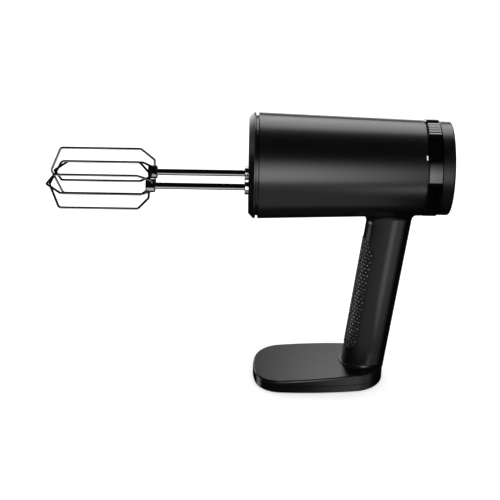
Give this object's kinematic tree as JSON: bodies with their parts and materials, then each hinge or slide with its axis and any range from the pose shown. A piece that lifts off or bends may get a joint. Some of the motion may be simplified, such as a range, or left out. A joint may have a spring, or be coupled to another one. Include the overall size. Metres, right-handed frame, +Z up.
{
  "type": "hand mixer",
  "caption": "Cordless stand-up hand mixer: horizontal motor barrel on a leaning handle and a wide base, with two wire beaters, a rear speed dial and an eject button.",
  "frame": {"origin": "on the table, at the middle of the rubber sole that the mixer stands on", "axes": "+X towards the rear of the barrel, so the beaters point along -X; +Z up; +Y completes the right-handed frame"},
  "size_m": [0.3861, 0.1006, 0.2808],
  "materials": {
    "satin_plastic": "satin black moulded plastic with a fine grain",
    "rear_cap_plastic": "satin black moulded plastic",
    "dial_gloss": "polished glossy black plastic",
    "button_plastic": "glossy black plastic",
    "grip_rubber": "soft black rubber with a raised dot lattice",
    "sole_rubber": "matt black rubber",
    "mount_rubber": "matt grey-black rubber",
    "mark_print": "white printed mark",
    "beater_chrome": "polished chrome plate on steel",
    "collar_chrome": "dark polished chrome",
    "spindle_steel": "ground steel",
    "spring_steel": "bright spring steel",
    "screw_steel": "zinc plated steel",
    "plate_steel": "galvanised sheet steel",
    "can_steel": "nickel plated drawn steel",
    "magnet_ferrite": "grey ferrite",
    "core_steel": "laminated electrical steel",
    "bearing_steel": "ground bearing steel",
    "winding_copper": "enamelled copper",
    "bush_bronze": "sintered bronze",
    "holder_brass": "pressed brass",
    "brush_carbon": "black carbon",
    "pinion_brass": "cut brass",
    "gear_nylon": "natural nylon",
    "inner_plastic": "glass filled black nylon",
    "board_resin": "green printed circuit board",
    "sink_aluminium": "extruded aluminium",
    "wire_sleeve": "red wire insulation",
    "cell_wrap": "blue heat-shrink wrap on steel cells",
    "port_steel": "drawn steel"
  },
  "bodies": {
    "housing": {"main_housing": "satin_plastic", "front_cap": "satin_plastic", "bottom_cover": "satin_plastic", "rear_cap": "rear_cap_plastic", "grip_inlay": "grip_rubber", "foot_sole": "sole_rubber", "motor_rear_mount": "mount_rubber", "index_mark": "mark_print", "beater_collars": "collar_chrome", "intermediate_gear_pin": "spindle_steel", "dial_detent_spring": "spring_steel", "eject_return_spring": "spring_steel", "rear_cap_screws": "screw_steel", "base_screws": "screw_steel", "gearbox_screws": "screw_steel", "gearbox_front_plate": "plate_steel", "gearbox_rear_plate": "plate_steel", "gearbox_pillars": "plate_steel", "ballast_plate": "plate_steel", "motor_can": "can_steel", "motor_magnets": "magnet_ferrite", "motor_bearings": "bearing_steel", "spindle_bushes": "bush_bronze", "brush_holders": "holder_brass", "carbon_brushes": "brush_carbon", "motor_end_bell": "inner_plastic", "battery_end_caps": "inner_plastic", "control_board": "board_resin", "charging_board": "board_resin", "heat_sink": "sink_aluminium", "motor_leads": "wire_sleeve", "battery_leads": "wire_sleeve", "battery_cells": "cell_wrap", "charging_port": "port_steel"},
    "rotor": {"motor_shaft": "spindle_steel", "rotor_core": "core_steel", "rotor_windings": "winding_copper", "commutator": "winding_copper", "cooling_fan": "inner_plastic", "motor_pinion": "pinion_brass"},
    "intermediate": {"intermediate_gear": "gear_nylon"},
    "far_spindle": {"far_spindle": "spindle_steel", "far_spindle_gear": "gear_nylon", "far_snap_ring": "spring_steel"},
    "far_push_pin": {"far_push_pin": "spindle_steel"},
    "far_beater": {"far_beater_shaft": "beater_chrome", "far_beater_ferrule": "beater_chrome", "far_beater_wires": "beater_chrome"},
    "near_spindle": {"near_spindle": "spindle_steel", "near_spindle_gear": "gear_nylon", "near_snap_ring": "spring_steel"},
    "near_push_pin": {"near_push_pin": "spindle_steel"},
    "near_beater": {"near_beater_shaft": "beater_chrome", "near_beater_ferrule": "beater_chrome", "near_beater_wires": "beater_chrome"},
    "speed_dial": {"speed_dial": "dial_gloss", "dial_magnet": "magnet_ferrite"},
    "eject_button": {"eject_button": "button_plastic", "eject_link": "plate_steel"}
  },
  "joints": [
    {"name": "motor_spin", "type": "hinge", "parent": "housing", "child": "rotor", "pos_m": [0, 0, 0.2305], "axis": [1, 0, 0], "continuous": true},
    {"name": "intermediate_spin", "type": "hinge", "parent": "housing", "child": "intermediate", "pos_m": [-0.04, 0.01663, 0.2374], "axis": [1, 0, 0], "continuous": true},
    {"name": "far_spindle_spin", "type": "hinge", "parent": "housing", "child": "far_spindle", "pos_m": [-0.05, 0.0168, 0.215], "axis": [1, 0, 0], "continuous": true},
    {"name": "near_spindle_spin", "type": "hinge", "parent": "housing", "child": "near_spindle", "pos_m": [-0.05, -0.0168, 0.215], "axis": [1, 0, 0], "continuous": true},
    {"name": "speed_dial_turn", "type": "hinge", "parent": "housing", "child": "speed_dial", "pos_m": [0.0993, 0, 0.2305], "axis": [1, 0, 0], "range_deg": [0, 110]},
    {"name": "eject_press", "type": "slide", "parent": "housing", "child": "eject_button", "axis": [-1, 0, 0], "range_m": [0, 0.005], "stiffness_N_per_m": 1500, "springref_m": -0.002, "deforming": ["eject_return_spring"]},
    {"name": "far_pin_slide", "type": "slide", "parent": "far_spindle", "child": "far_push_pin", "axis": [-1, 0, 0], "range_m": [0, 0.005]},
    {"name": "far_beater_release", "type": "slide", "parent": "far_push_pin", "child": "far_beater", "axis": [-1, 0, 0], "range_m": [0, 0.032]},
    {"name": "near_pin_slide", "type": "slide", "parent": "near_spindle", "child": "near_push_pin", "axis": [-1, 0, 0], "range_m": [0, 0.005]},
    {"name": "near_beater_release", "type": "slide", "parent": "near_push_pin", "child": "near_beater", "axis": [-1, 0, 0], "range_m": [0, 0.032]}
  ],
  "couplings": [
    {"joint": "intermediate_spin", "follows": "motor_spin", "ratio": -0.25},
    {"joint": "far_spindle_spin", "follows": "motor_spin", "ratio": 0.083333},
    {"joint": "near_spindle_spin", "follows": "motor_spin", "ratio": -0.083333},
    {"joint": "far_pin_slide", "follows": "eject_press", "ratio": 1},
    {"joint": "near_pin_slide", "follows": "eject_press", "ratio": 1}
  ]
}
